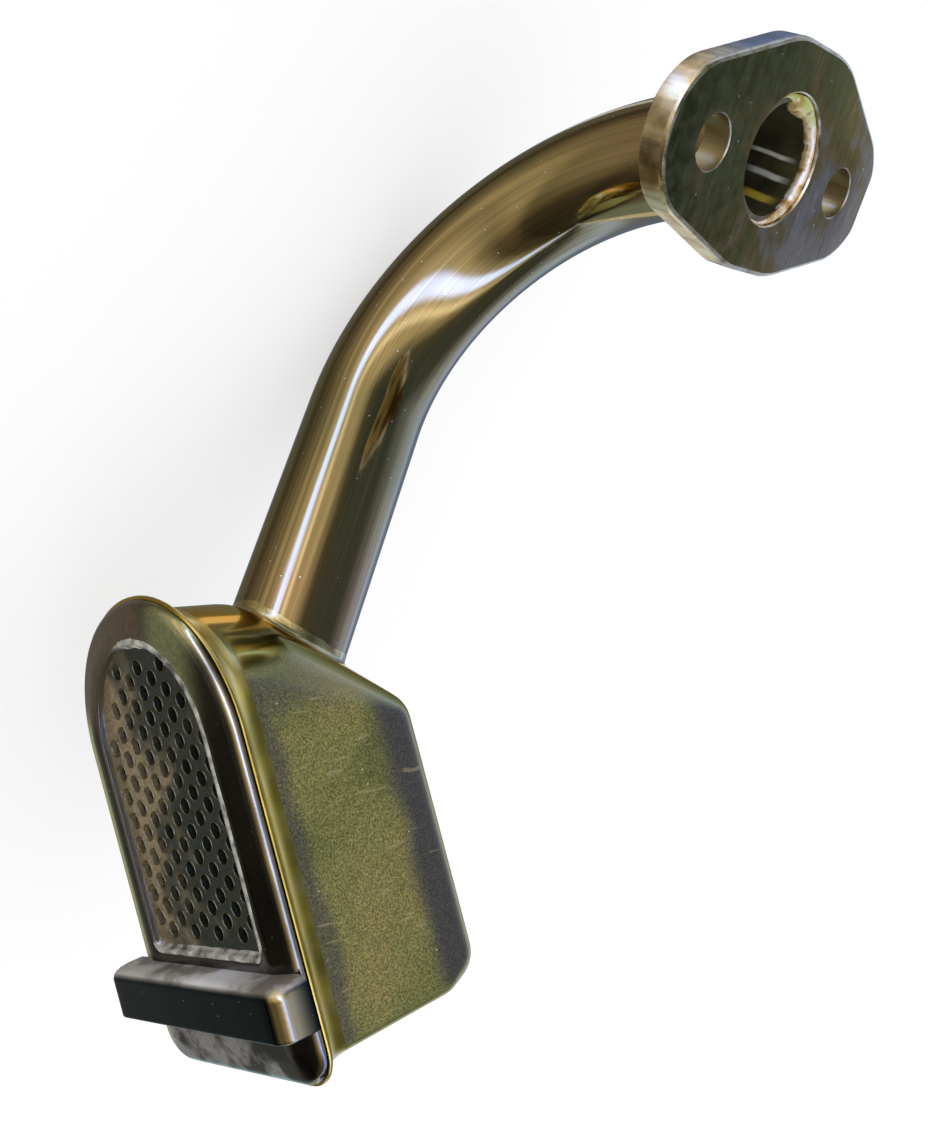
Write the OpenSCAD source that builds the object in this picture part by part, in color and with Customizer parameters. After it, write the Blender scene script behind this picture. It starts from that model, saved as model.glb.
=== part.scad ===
// Oil pickup tube: a two-bolt flange, a bent suction tube and a strainer box with a perforated screen.
// The frame sits on the flange: origin midway between the bolt holes on the mounting face,
// X along the bolt line, Z out of the mounting face.

/* [Flange] */
// Distance between the two bolt holes
bolt_spacing = 45.8; // [42:0.1:52]
// Diameter of a bolt clearance hole
bolt_hole_d = 9; // [7:0.1:10]
// Thickness of the flange plate
flange_t = 5; // [4:0.1:8]
// Radius of the round ends of the flange
flange_end_r = 13; // [10:0.1:15]
// Radius of the middle of the flange
flange_mid_r = 19.4; // [17:0.1:24]
// Length of the straight part of that middle, towards the trimmed end
flange_mid_len = 6; // [0.5:0.1:8]
// Length of the straight part of that middle, towards the round end
flange_mid_back = 3; // [0.5:0.1:6]
// Distance of the trimmed end of the flange from the middle of the bolt line
flange_trim = 34.8; // [31:0.1:35.5]
// Offset of the tube from the middle of the bolt line, across it
bore_offset = 1.5; // [0:0.1:3]

/* [Tube] */
// Outside diameter of the tube
tube_od = 22; // [18:0.1:24]
// Wall thickness of the tube
tube_wall = 1.5; // [1:0.1:2.5]
// Radius of the bend at the middle of the tube
bend_radius = 50; // [40:0.5:70]
// Angle of the bend
bend_angle = 115; // [90:1:125]
// Straight length between the bend and the mounting face
outlet_len = 8.4; // [8:0.1:20]
// Straight length between the bend and the strainer box
inlet_len = 46.9; // [35:0.1:70]
// Depth of the end of the tube below the mounting face
tube_recess = 1.4; // [0.8:0.1:2]
// Lean of the tube from square to the flange
outlet_lean = 12; // [0:0.5:15]
// Direction of that lean round the flange
lean_turn = 152.6; // [120:0.1:180]
// Turn of the bend round the outlet
bend_turn = 88.4; // [60:0.1:120]
// Turn of the strainer box round the tube
box_turn = 103; // [80:0.5:120]

/* [Strainer box] */
// Radius of the round end, half the width of the box
box_r = 21.3; // [19:0.1:23]
// Length of the box from the centre of its round end to its flat end
box_len = 53.5; // [46:0.1:60]
// Depth of the box behind the screen frame
box_depth = 37; // [36:0.1:42]
// Wall thickness of the drawn sheet
box_wall = 1.5; // [1:0.1:2]
// Radius of the edges at the back of the box
box_corner_r = 6; // [4:0.5:8]
// Radius of the upright edges at the flat end of the box
box_edge_r = 3; // [2:0.5:5]
// Angle between the tube and the length of the box
inlet_angle = 39.5; // [35:0.5:45]
// Place of the tube along the box, from the centre of its round end
inlet_x = 10.7; // [9:0.1:12]
// Place of the tube behind the screen frame
inlet_z = 28.4; // [27:0.1:30]
// Reach of the flared lip beyond the side walls
lip_reach = 3; // [2:0.1:4]
// Reach of the flared lip beyond the flat end of the box
lip_end_reach = 3; // [2:0.1:8]
// Thickness of the flared lip at its edge
lip_t = 0.8; // [0.6:0.1:1.5]

/* [Screen frame] */
// Height of the frame in front of the lip
frame_h = 2.75; // [2.5:0.05:4]
// Width of the sloping outside of the frame
frame_slope = 5.4; // [4:0.1:6]
// Width of the flat top of the frame
frame_top = 2; // [1.5:0.1:3]
// Radius of the outer edge of the frame
frame_edge_r = 1.1; // [0.8:0.1:1.5]
// Radius of the lower corners of the frame
frame_corner_r = 7; // [6:0.1:9]
// Distance from the centre of the round end to the lower edge of the window
window_len = 35; // [30:0.1:36]
// Thickness of the perforated sheet
screen_t = 1; // [0.6:0.1:1.4]
// Depth of the front of the screen below the top of the frame
screen_recess = 1.35; // [1:0.05:1.7]
// Diameter of a strainer hole
hole_d = 2.6; // [2:0.1:3]
// Distance between neighbouring strainer holes
hole_pitch = 4.25; // [3.8:0.05:5.5]
// Height of the foot bar in front of the frame
foot_h = 5.4; // [3.5:0.1:8]
// Reach of the foot bar beyond each side of the frame
foot_reach = 2.4; // [1:0.1:5]
// Width of the foot bar along the box
foot_w = 8.5; // [6:0.1:10]
// Gap between the window and the foot bar
foot_gap = 2.3; // [0.8:0.1:3]
// Radius of the front corners of the foot bar
foot_corner_r = 3; // [1:0.1:4]

/* [Hidden] */
// Clearance between pieces that slide together
fit_gap = 0.05;
// Loss of radius where the tube is drawn round its bend
bend_draw = 0.05;
// Overrun of a cutting tool
cut = 1;
// Steps in a quarter turn of an outline
quarter_steps = 12;
tube_r = tube_od / 2;
bore_r = tube_r + fit_gap;
tube_id_r = tube_r - tube_wall;
// The flange lies at both ends of the bolt line
bolt_x = bolt_spacing / 2;
// The screen frame: its blunt outer edge, the seat of the screen and the corners of the window
rebate_ledge = 1.6;
window_corner_r = 2;
frame_r = box_r + lip_reach;
frame_len = box_len + lip_end_reach;
frame_edge = 0.3;
frame_edge_turns = [0, 20, 40, 62];
frame_step = 0.01;
crest_r = frame_r - frame_slope;
window_r = crest_r - frame_top;
rebate_r = window_r + rebate_ledge;
rebate_len = window_len + rebate_r - window_r;
screen_face = frame_h - screen_recess;
foot_top = window_len + foot_gap;
// Height over the lip of the foot bar's overhanging ends
foot_rise = 1.6;
// The slant that the tube lands on, as unit vectors along the box and behind it
slant_n = [cos(inlet_angle), 0, sin(inlet_angle)];
slant_u = [sin(inlet_angle), 0, -cos(inlet_angle)];
inlet_point = [inlet_x, 0, inlet_z];
crown_r = 10;
crown_up = 10.8;
crown_down = (box_depth - inlet_z - crown_r * (1 - slant_n.z)) / slant_u.z;
shoulder_depth = 20;
shoulder_r = 20;
shoulder_round = 4;
shoulder_drop = 1.3;
mouth_depth = 5;
lip_run = 4.5;
// The side shoulder lies where the slant meets the back of the box
side_drop = 7.3;
// Braze round the foot of the tube: reach from the tube and height over the box at each step
braze_steps = [[1.9, 0.5], [1.1, 1.1], [0.5, 1.9]];
tube_end_in = 8;
weld_h = tube_recess - 0.2;
weld_reach = 0.9;

function arc(centre, r, from, to, steps = quarter_steps) =
    [for (i = [0 : steps]) centre + r * [cos(from + (to - from) * i / steps), sin(from + (to - from) * i / steps)]];

// Half the angle between the two outer tangents of a large disc and a small one, seen from the large one
function tangent_open(large_r, small_r, between) = acos((large_r - small_r) / norm(between));

// Outside of the frame in section, as distance in from its edge and height over the lip
function frame_profile() = concat(
    [for (turn = frame_edge_turns) [frame_edge_r * (1 - cos(turn)), frame_edge + frame_edge_r * sin(turn)]],
    [[frame_slope, frame_h]]
);

// Outline of the flange, two round ends blended into a longer round middle
module flange_outline() {
    mid_left = [-flange_mid_back, bore_offset];
    mid_right = [flange_mid_len, bore_offset];
    end_left = [-bolt_x, 0];
    end_right = [bolt_x, 0];
    to_right = end_right - mid_right;
    to_left = end_left - mid_left;
    right_dir = atan2(to_right.y, to_right.x);
    left_dir = 360 + atan2(to_left.y, to_left.x);
    right_open = tangent_open(flange_mid_r, flange_end_r, to_right);
    left_open = tangent_open(flange_mid_r, flange_end_r, to_left);
    polygon(concat(
        arc(end_right, flange_end_r, right_dir - right_open, right_dir + right_open, 2 * quarter_steps),
        arc(mid_right, flange_mid_r, right_dir + right_open, 90),
        arc(mid_left, flange_mid_r, 90, left_dir - left_open),
        arc(end_left, flange_end_r, left_dir - left_open, left_dir + left_open, 2 * quarter_steps),
        arc(mid_left, flange_mid_r, left_dir + left_open, 270),
        arc(mid_right, flange_mid_r, 270, 360 + right_dir - right_open)
    ));
}

// Moves from the mounting face to the tube's outlet, Z along the tube
module at_outlet() {
    translate([0, bore_offset, 0]) rotate([0, 0, lean_turn]) rotate([0, outlet_lean, 0])
        rotate([0, 0, bend_turn]) children();
}

// Moves to the far end of the bend, Z along the straight tube towards the bend
module at_bend_end() {
    at_outlet() translate([0, 0, -outlet_len]) translate([bend_radius, 0, 0]) rotate([0, -bend_angle, 0])
        translate([-bend_radius, 0, 0]) children();
}

// Moves to the place where the axis of the tube meets the strainer box
module at_inlet() {
    at_bend_end() translate([0, 0, -inlet_len]) rotate([0, 0, -box_turn]) children();
}

// Moves to the strainer box: X along its length, Z to its back, origin in the screen frame's seat
module at_box() {
    at_inlet() rotate([0, inlet_angle - 90, 0]) translate(-inlet_point) children();
}

// Cross-section of the tube, a little smaller where the bending draws it
module tube_ring(draw = 0) {
    difference() {
        circle(r = tube_r - draw, $fn = 64);
        circle(r = tube_id_r - draw, $fn = 64);
    }
}

// Flat outline with one round end, the centre of the round at the origin
module arch_outline(r, len, corner_r) {
    polygon(concat(
        arc([0, 0], r, -90, 90, 2 * quarter_steps),
        arc([-len + corner_r, r - corner_r], corner_r, 90, 180),
        arc([-len + corner_r, -r + corner_r], corner_r, 180, 270)
    ));
}

module arch_plate(r, len, corner_r, z, h) {
    translate([0, 0, z]) linear_extrude(h) arch_outline(r, len, corner_r);
}

// Form of the drawn box, made smaller by an inset for its inside and larger by a negative one for the braze
module box_form(inset, mouth) {
    back = box_depth - box_corner_r;
    side = box_r - box_corner_r;
    hull() {
        arch_plate(box_r - inset, box_len - inset, box_edge_r - inset, mouth, mouth_depth - mouth);
        translate([-shoulder_drop, 0, shoulder_depth - shoulder_round])
            rotate_extrude($fn = 48) translate([shoulder_r - shoulder_round, 0]) circle(r = shoulder_round - inset, $fn = 24);
        for (along = [crown_up, crown_down])
            translate(inlet_point + along * slant_u - crown_r * slant_n) sphere(r = crown_r - inset, $fn = 32);
        for (turn = [-1, 1]) {
            translate([-side_drop, turn * side, back]) sphere(r = box_corner_r - inset, $fn = 32);
            translate([box_corner_r - box_len, turn * side, back]) sphere(r = box_corner_r - inset, $fn = 32);
            translate([box_edge_r - box_len, turn * (box_r - box_edge_r), back - box_edge_r])
                sphere(r = box_edge_r - inset, $fn = 24);
        }
    }
}

module flange() {
    color("#4a4c40") difference() {
        translate([0, 0, -flange_t]) linear_extrude(flange_t) intersection() {
            flange_outline();
            translate([-2 * flange_trim, -flange_trim]) square([3 * flange_trim, 2 * flange_trim]);
        }
        for (x = [-bolt_x, bolt_x])
            translate([x, 0, -flange_t - cut]) cylinder(d = bolt_hole_d, h = flange_t + 2 * cut, $fn = 48);
        at_outlet() translate([0, 0, -outlet_len - cut]) cylinder(r = bore_r, h = outlet_len + tube_r, $fn = 64);
    }
}

module tube() {
    color("#8a7a48") union() {
        difference() {
            at_outlet() translate([0, 0, -outlet_len]) linear_extrude(outlet_len + tube_r) tube_ring();
            translate([-tube_od, -tube_od, -tube_recess]) cube(2 * tube_od);
        }
        at_outlet() translate([bend_radius, 0, -outlet_len]) rotate([0, 0, 180]) rotate([-90, 0, 0])
            rotate_extrude(angle = bend_angle, $fn = 96) translate([bend_radius, 0]) tube_ring(bend_draw);
        at_bend_end() translate([0, 0, -inlet_len - tube_end_in]) linear_extrude(inlet_len + tube_end_in) tube_ring();
    }
}

module strainer_housing() {
    color("#75703a") difference() {
        at_box() union() {
            box_form(0, 0);
            hull() {
                arch_plate(frame_r, frame_len, frame_corner_r, 0, lip_t);
                arch_plate(box_r, box_len, box_edge_r, 0, lip_run);
            }
        }
        at_box() box_form(box_wall, -cut);
        at_bend_end() translate([0, 0, -inlet_len - tube_end_in]) cylinder(r = bore_r, h = inlet_len, $fn = 64);
    }
}

module screen_frame() {
    color("#6b5a3c") at_box() difference() {
        hull() {
            arch_plate(frame_r, frame_len, frame_corner_r, -frame_edge, frame_edge);
            for (step = frame_profile())
                arch_plate(frame_r - step.x, frame_len - step.x, frame_corner_r - step.x, -step.y, frame_step);
        }
        arch_plate(window_r, window_len, window_corner_r, -frame_h - cut, frame_h + 2 * cut);
        arch_plate(rebate_r, rebate_len, window_corner_r, -screen_face, frame_h);
    }
}

// Strainer holes in rows along the box, every other row half a step on
module strainer_holes() {
    row_gap = hole_pitch * sin(60);
    rim = hole_d / 2 + 0.4;
    for (row = [-floor((window_r - rim) / row_gap) : floor((window_r - rim) / row_gap)])
        for (i = [-ceil(window_len / hole_pitch) : ceil(window_r / hole_pitch)]) {
            x = hole_pitch * (i + (row % 2 == 0 ? 0 : 0.5));
            y = row_gap * row;
            if (x > rim - window_len && (x < 0 || norm([x, y]) < window_r - rim))
                translate([x, y, -screen_face - cut]) cylinder(d = hole_d, h = screen_t + 2 * cut, $fn = 24);
        }
}

module screen() {
    color("#3c4038") at_box() difference() {
        arch_plate(rebate_r - fit_gap, rebate_len - fit_gap, window_corner_r, -screen_face, screen_t);
        strainer_holes();
    }
}

// The foot bar sits over the frame, so its underside follows the slope of the frame
module foot_bar() {
    half = frame_r + foot_reach;
    front = frame_h + foot_h;
    low = frame_profile()[len(frame_edge_turns) - 1];
    seat_in = low.x + (frame_slope - low.x) * (foot_rise - low.y) / (frame_h - low.y);
    color("#2c3034") at_box() translate([-foot_top - foot_w, 0, 0]) rotate([90, 0, 90]) linear_extrude(foot_w)
        polygon(concat(
            [[half, -foot_rise], [frame_r - seat_in, -foot_rise], [crest_r, -frame_h]],
            [[-crest_r, -frame_h], [seat_in - frame_r, -foot_rise], [-half, -foot_rise]],
            arc([-half + foot_corner_r, -front + foot_corner_r], foot_corner_r, 180, 270),
            arc([half - foot_corner_r, -front + foot_corner_r], foot_corner_r, 270, 360)
        ));
}

module flange_weld() {
    color("#c8a85c") intersection() {
        at_outlet() translate([0, 0, -outlet_len]) difference() {
            cylinder(r = tube_r, h = outlet_len + tube_r, $fn = 64);
            cylinder(r = tube_r - weld_reach, h = 3 * outlet_len + tube_r, center = true, $fn = 64);
        }
        translate([-tube_od, -tube_od, -tube_recess]) cube([2 * tube_od, 2 * tube_od, weld_h]);
    }
}

module tube_braze() {
    color("#a08848") difference() {
        union() {
            for (step = braze_steps)
                intersection() {
                    at_box() box_form(-step[1], 0);
                    at_bend_end() translate([0, 0, -inlet_len - tube_end_in])
                        cylinder(r = tube_r + step[0], h = inlet_len, $fn = 48);
                }
        }
        at_box() box_form(0, 0);
        at_bend_end() translate([0, 0, -inlet_len - 2 * tube_end_in]) cylinder(r = bore_r, h = 2 * inlet_len, $fn = 64);
    }
}

flange();
tube();
strainer_housing();
screen_frame();
screen();
foot_bar();
flange_weld();
tube_braze();
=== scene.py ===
# %% [markdown]
# # An oil pickup tube
#
# This lesson dresses a finished CAD part for a picture. The part is the suction tube of an engine's
# oil pump: a bolt-on flange, a bent steel tube and a strainer box that hangs in the sump. All of it is
# plated in yellow chromate, so nearly every surface is a dark, glossy or satin olive-gold metal.

# %% Tools
import math

import bmesh
import bpy
from mathutils import Matrix, Vector, noise
from mathutils.bvhtree import BVHTree


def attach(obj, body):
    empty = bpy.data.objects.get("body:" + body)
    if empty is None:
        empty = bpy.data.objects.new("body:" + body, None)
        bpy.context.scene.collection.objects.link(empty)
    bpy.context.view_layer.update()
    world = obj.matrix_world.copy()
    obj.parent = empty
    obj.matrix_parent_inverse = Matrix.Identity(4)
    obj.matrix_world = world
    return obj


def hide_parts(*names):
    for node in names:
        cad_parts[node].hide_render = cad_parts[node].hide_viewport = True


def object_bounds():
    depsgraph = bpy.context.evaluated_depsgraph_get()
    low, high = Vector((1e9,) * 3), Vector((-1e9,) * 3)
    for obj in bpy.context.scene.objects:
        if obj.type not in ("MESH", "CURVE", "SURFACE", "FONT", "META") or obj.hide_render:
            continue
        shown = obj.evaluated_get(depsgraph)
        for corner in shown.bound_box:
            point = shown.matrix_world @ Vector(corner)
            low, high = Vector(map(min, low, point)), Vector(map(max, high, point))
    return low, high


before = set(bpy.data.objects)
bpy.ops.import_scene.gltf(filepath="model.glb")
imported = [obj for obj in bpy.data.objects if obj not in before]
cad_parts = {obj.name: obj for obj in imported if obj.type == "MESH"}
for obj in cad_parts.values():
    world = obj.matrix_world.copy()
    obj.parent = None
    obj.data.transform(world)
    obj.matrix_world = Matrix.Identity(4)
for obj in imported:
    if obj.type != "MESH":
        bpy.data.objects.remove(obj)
cad_low, cad_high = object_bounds()
print("CAD nodes:", sorted(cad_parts))

# %% [markdown]
# The CAD frame sits on the flange: its origin is midway between the bolt holes on the mounting face,
# and Z points out of that face. The tube and the strainer box are easiest to build in frames of their
# own, so the chain of moves that places them in the CAD source is repeated here as matrices. Sizes are
# written in millimetres and turned into metres when a mesh is made.

# %% Sizes of the flange and the tube
MM = 0.001
BOLT_X = 22.9
BOLT_HOLE_R = 4.5
FLANGE_T = 5.0
FLANGE_END_R = 13.0
FLANGE_MID_R = 19.4
FLANGE_MID_LEN = 6.0
FLANGE_MID_BACK = 3.0
FLANGE_TRIM = 34.8
BORE_OFFSET = 1.5
TUBE_R = 11.0
TUBE_WALL = 1.5
TUBE_PLAY = 0.05
TUBE_RECESS = 1.4
TUBE_END_IN = 8.0
BEND_R = 50.0
BEND_ANGLE = 115.0
BEND_TURN = 88.4
OUTLET_LEN = 8.4
OUTLET_LEAN = 12.0
LEAN_TURN = 152.6
INLET_LEN = 46.9
print("tube", 2 * TUBE_R, "mm outside, bent round", BEND_R, "mm")

# %% Sizes of the strainer box, its frame, screen and foot
INLET_ANGLE = 39.5
INLET_POINT = Vector((10.7, 0.0, 28.4))
BOX_TURN = 103.0
BOX_R = 21.3
BOX_LEN = 53.5
BOX_DEPTH = 37.0
BOX_WALL = 1.5
BOX_CORNER_R = 6.0
BOX_EDGE_R = 3.0
LIP_REACH = 3.0
LIP_END_REACH = 3.0
LIP_T = 0.8
FRAME_R = BOX_R + LIP_REACH
FRAME_LEN = BOX_LEN + LIP_END_REACH
FRAME_H = 2.75
FRAME_SLOPE = 5.4
FRAME_TOP = 2.0
FRAME_CORNER_R = 7.0
CREST_R = FRAME_R - FRAME_SLOPE
WINDOW_R = CREST_R - FRAME_TOP
WINDOW_LEN = 35.0
WINDOW_CORNER_R = 2.0
SCREEN_FACE = 1.4
HOLE_D = 2.6
HOLE_PITCH = 4.25
HOLE_MARGIN = 0.4
FOOT_TOP = WINDOW_LEN + 2.3
FOOT_W = 8.5
FOOT_H = 5.4
FOOT_REACH = 2.4
FOOT_RISE = 1.6
FOOT_CORNER_R = 3.0
print("frame", round(2 * FRAME_R, 1), "mm wide, window", round(2 * WINDOW_R, 1), "mm wide")


# %% Frames of the tube and of the box
def move(x, y, z):
    return Matrix.Translation((x, y, z))


def turn(axis, degrees):
    return Matrix.Rotation(math.radians(degrees), 4, axis)


AT_OUTLET = move(0, BORE_OFFSET, 0) @ turn("Z", LEAN_TURN) @ turn("Y", OUTLET_LEAN) @ turn("Z", BEND_TURN)
AT_BEND = AT_OUTLET @ move(BEND_R, 0, -OUTLET_LEN)
AT_BEND_END = AT_BEND @ turn("Y", -BEND_ANGLE) @ move(-BEND_R, 0, 0)
AT_INLET = AT_BEND_END @ move(0, 0, -INLET_LEN) @ turn("Z", -BOX_TURN)
AT_BOX = AT_INLET @ turn("Y", INLET_ANGLE - 90) @ Matrix.Translation(-INLET_POINT)
FROM_BOX = AT_BOX.inverted()
TUBE_UP = AT_OUTLET.to_3x3() @ Vector((0, 0, 1))
BOX_SIDE = AT_BOX.to_3x3() @ Vector((0, 1, 0))
print("strainer box at", [round(x, 1) for x in AT_BOX.translation])

# %% [markdown]
# ## Helpers for meshes
#
# Every mesh is made in the same way: points in millimetres, faces as lists of point numbers, normals
# turned outwards, and the finished object tied to the CAD body that it moves with. `skin` joins a stack
# of rings, which is how most drawn, turned and bent parts are described. `paint` stores a number at each
# point of a mesh, such as how rubbed the metal is there or how much painted light it gets, and a finish
# can read it as a mask.


# %% From points to a piece of the part
def outward(mesh):
    work = bmesh.new()
    work.from_mesh(mesh)
    bmesh.ops.recalc_face_normals(work, faces=work.faces)
    work.to_mesh(mesh)
    work.free()
    return mesh


def mesh_of(name, points, faces):
    mesh = bpy.data.meshes.new(name)
    mesh.from_pydata([Vector(p) * MM for p in points], [], faces)
    return outward(mesh)


def loose_object(name, data):
    obj = bpy.data.objects.new(name, data)
    bpy.context.scene.collection.objects.link(obj)
    return obj


def dress(name, mesh, finishes, node, smooth):
    # Clearing an empty list would still reset which finish each face has
    if len(mesh.materials):
        mesh.materials.clear()
    for finish in finishes:
        mesh.materials.append(finish)
    mesh.shade_smooth()
    mesh.set_sharp_from_angle(angle=math.radians(smooth))
    obj = loose_object(name, mesh)
    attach(obj, "root")
    if node:
        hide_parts(node)
    print(name, len(mesh.polygons), "faces")


# %% Rings, modifiers turned into plain meshes, and painted masks
def skin(rings, closed=True):
    count = len(rings[0])
    points = [p for ring in rings for p in ring]
    faces = []
    for i in range(len(rings) if closed else len(rings) - 1):
        j = (i + 1) % len(rings)
        for k in range(count):
            m = (k + 1) % count
            faces.append([i * count + k, i * count + m, j * count + m, j * count + k])
    return points, faces


def applied(obj):
    graph = bpy.context.evaluated_depsgraph_get()
    mesh = bpy.data.meshes.new_from_object(obj.evaluated_get(graph))
    old = obj.data
    bpy.data.objects.remove(obj)
    bpy.data.meshes.remove(old)
    return mesh


def ease(low, high, value):
    s = min(1.0, max(0.0, (value - low) / (high - low)))
    return s * s * (3 - 2 * s)


def paint(mesh, into, **rules):
    turned = into.to_3x3()
    for name, rule in rules.items():
        layer = mesh.attributes.new(name, "FLOAT", "POINT")
        for vertex in mesh.vertices:
            layer.data[vertex.index].value = rule(into @ (vertex.co / MM), turned @ vertex.normal)


# %% [markdown]
# ## Helpers for finishes
#
# Yellow chromate is a thin film over zinc. It is metal to the eye, with a colour that drifts from olive
# to brown where the film is thicker, and with small specks and scratches. Its nodes could be wired one by
# one for every piece. Here each helper adds one kind of mark instead, so that the finish of a piece reads
# as a short list of what has happened to it.

# %% Nodes for sums, mixes and ramps
NOISE_SPAN = (0.3, 0.7)


class Nodes:
    def __init__(self, tree):
        self.tree = tree

    def feed(self, socket, source):
        if isinstance(source, bpy.types.NodeSocket):
            self.tree.links.new(source, socket)
        elif socket.type == "RGBA":
            socket.default_value = (*source, 1)
        else:
            socket.default_value = source

    def add(self, kind, inputs, **settings):
        node = self.tree.nodes.new("ShaderNode" + kind)
        for key, value in settings.items():
            setattr(node, key, value)
        for key, source in inputs.items():
            self.feed(node.inputs[key], source)
        return node

    def sums(self, kind, a, b=0.0):
        return self.add("Math", {0: a, 1: b}, operation=kind).outputs["Value"]

    def plus(self, a, b):
        return self.sums("ADD", a, b)

    def times(self, a, b):
        return self.sums("MULTIPLY", a, b)

    def most(self, a, b):
        return self.sums("MAXIMUM", a, b)

    def mixed(self, share, a, b, kind="MIX"):
        inputs = {0: share, 6: a, 7: b}
        return self.add("Mix", inputs, data_type="RGBA", blend_type=kind).outputs[2]

    def toned(self, share, colour, pattern):
        return self.mixed(share, colour, pattern, "MULTIPLY")

    def fitted(self, value, low, high, to_low, to_high):
        ends = {"From Min": low, "From Max": high, "To Min": to_low, "To Max": to_high}
        return self.add("MapRange", {"Value": value, **ends}).outputs["Result"]

    def spread(self, pattern, to_low, to_high):
        return self.fitted(pattern, *NOISE_SPAN, to_low, to_high)

    def ramp(self, value, *marks, kind="LINEAR"):
        # Each mark is a place and a colour, in rising order
        node = self.add("ValToRGB", {"Fac": value})
        node.color_ramp.interpolation = kind
        stops = node.color_ramp.elements
        stops[0].position = marks[0][0]
        stops[1].position = marks[-1][0]
        for mark in marks[1:-1]:
            stops.new(mark[0])
        for stop, mark in zip(stops, marks):
            stop.color = (*mark[1:], 1)
        return node.outputs["Color"]

    def flat_map(self, name):
        return self.add("UVMap", {}, uv_map=name).outputs["UV"]


# %% A finish, with its noise, specks, scratches, masks and relief
COAT_ROUGHNESS = 0.06
SPECK_CORE = 0.6
SCRATCH_EDGE = 0.04


class Finish(Nodes):
    def __init__(self, name, coat=0.0, metallic=1.0):
        self.material = bpy.data.materials.new(name)
        self.material.use_nodes = True
        super().__init__(self.material.node_tree)
        self.shader = self.tree.nodes["Principled BSDF"]
        self.give("Metallic", metallic)
        self.give("Coat Weight", coat)
        self.give("Coat Roughness", COAT_ROUGHNESS)
        self.place = self.add("TexCoord", {}).outputs["Object"]
        print("finish", name)

    def give(self, name, source):
        self.feed(self.shader.inputs[name], source)

    def clouds(self, scale, detail=3.0, place=None):
        inputs = {"Vector": place or self.place, "Scale": scale, "Detail": detail}
        return self.add("TexNoise", inputs).outputs["Fac"]

    def streaks(self, scale, detail, spin=(0, 0, 0), place=None):
        inputs = {"Vector": place or self.place, "Scale": scale, "Rotation": spin}
        return self.clouds(1.0, detail, self.add("Mapping", inputs).outputs["Vector"])

    def scratches(self, scale, spin, rare):
        return self.fitted(self.streaks(scale, 1.0, spin), rare, rare + SCRATCH_EDGE, 0, 1)

    def specks(self, scale, size, share):
        cells = self.add("TexVoronoi", {"Vector": self.place, "Scale": scale}).outputs
        dot = self.fitted(cells["Distance"], size * SPECK_CORE, size, 1, 0)
        pick = self.add("SeparateColor", {"Color": cells["Color"]}).outputs["Red"]
        return self.times(dot, self.sums("LESS_THAN", pick, share))

    def painted(self, name):
        return self.add("Attribute", {}, attribute_name=name).outputs["Fac"]

    def along(self, direction, low, high):
        inputs = {0: self.place, 1: direction}
        reach = self.add("VectorMath", inputs, operation="DOT_PRODUCT").outputs["Value"]
        return self.fitted(reach, low * MM, high * MM, 0, 1)

    def relief(self, height, strength, depth=0.0002):
        inputs = {"Strength": strength, "Distance": depth, "Height": height}
        self.give("Normal", self.add("Bump", inputs).outputs["Normal"])


# %% [markdown]
# ## The tube
#
# A tube that is bent on a mandrel is a stack of circles along a line, an arc and another line. The
# rings are made in the frame of each stretch, outside and inside, and the last ring is slid along the
# axis until it lies in the plane where the mouth is cut, just under the flange's face. The rings also
# give a flat map, round the tube and along it, for the fine lines that the drawing die leaves.

# %% Finish of the tube, outside
FLAT_MAP = "round_and_along"
film = Finish("tube_gold", 0.6)
film.give("Specular Tint", (0.5, 0.55, 0.5))
drift = film.clouds(24.0)
gold = film.ramp(drift, (0.32, 0.36, 0.29, 0.12), (0.5, 0.45, 0.33, 0.14), (0.68, 0.47, 0.31, 0.15))
die_lines = film.streaks((130, 2.5, 1), 2.0, place=film.flat_map(FLAT_MAP))
worn = film.toned(0.5, gold, film.ramp(die_lines, (0.3, 0.5, 0.5, 0.5), (0.7, 1.3, 1.3, 1.3)))
dust = film.specks(520.0, 0.1, 0.35)
film.give("Base Color", film.mixed(dust, worn, (0.85, 0.83, 0.75)))
haze = film.fitted(film.clouds(260.0, 4.0), 0.45, 0.75, 0, 0.06)
polish = film.plus(film.spread(die_lines, 0.05, 0.11), haze)
film.give("Roughness", film.plus(polish, film.times(dust, 0.3)))
film.relief(die_lines, 0.04, 0.00005)
TUBE_GOLD = film.material

# %% [markdown]
# Inside the mouth the wall is dark, with two pale streaks that are painted highlights and a yellow patch
# that is a painted reflection, all leaning across it. They are drawn on the flat map too, as stripes that
# end just below the mouth.

# %% Finish of the tube, inside
STREAK_LEAN = 0.62
film = Finish("tube_inside")
flat_place = film.add("SeparateXYZ", {"Vector": film.flat_map(FLAT_MAP)}).outputs
up_tube = flat_place["Y"]
leaning = film.plus(flat_place["X"], film.times(up_tube, STREAK_LEAN))
near_mouth = film.times(film.fitted(up_tube, 0.905, 0.925, 0, 1), film.fitted(up_tube, 0.958, 0.97, 1, 0))


def stripe(middle, half, outer_half):
    off = film.sums("ABSOLUTE", film.sums("SUBTRACT", leaning, middle))
    return film.fitted(off, half, outer_half, 1, 0)


# Painted highlights: two pale streaks on the inner wall, just below the mouth
pale_streak = film.times(film.most(stripe(0.955, 0.004, 0.009), stripe(0.894, 0.006, 0.012)), near_mouth)
# Painted reflection: a yellow patch beside the streaks
oil_patch = film.times(stripe(0.82, 0.01, 0.018), near_mouth)
stain = film.clouds(160.0)
inner = film.ramp(stain, (0.3, 0.12, 0.11, 0.06), (0.7, 0.26, 0.22, 0.1))
inner = film.mixed(oil_patch, inner, (0.8, 0.62, 0.08))
film.give("Base Color", film.mixed(pale_streak, inner, (0.95, 0.95, 0.9)))
film.give("Metallic", film.fitted(film.most(pale_streak, oil_patch), 0, 1, 0.7, 0.0))
film.give("Roughness", film.spread(stain, 0.3, 0.5))
TUBE_INSIDE = film.material

# %% Rings of the tube
TUBE_SIDES = 72
INLET_RINGS = 18
BEND_RINGS = 48


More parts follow.
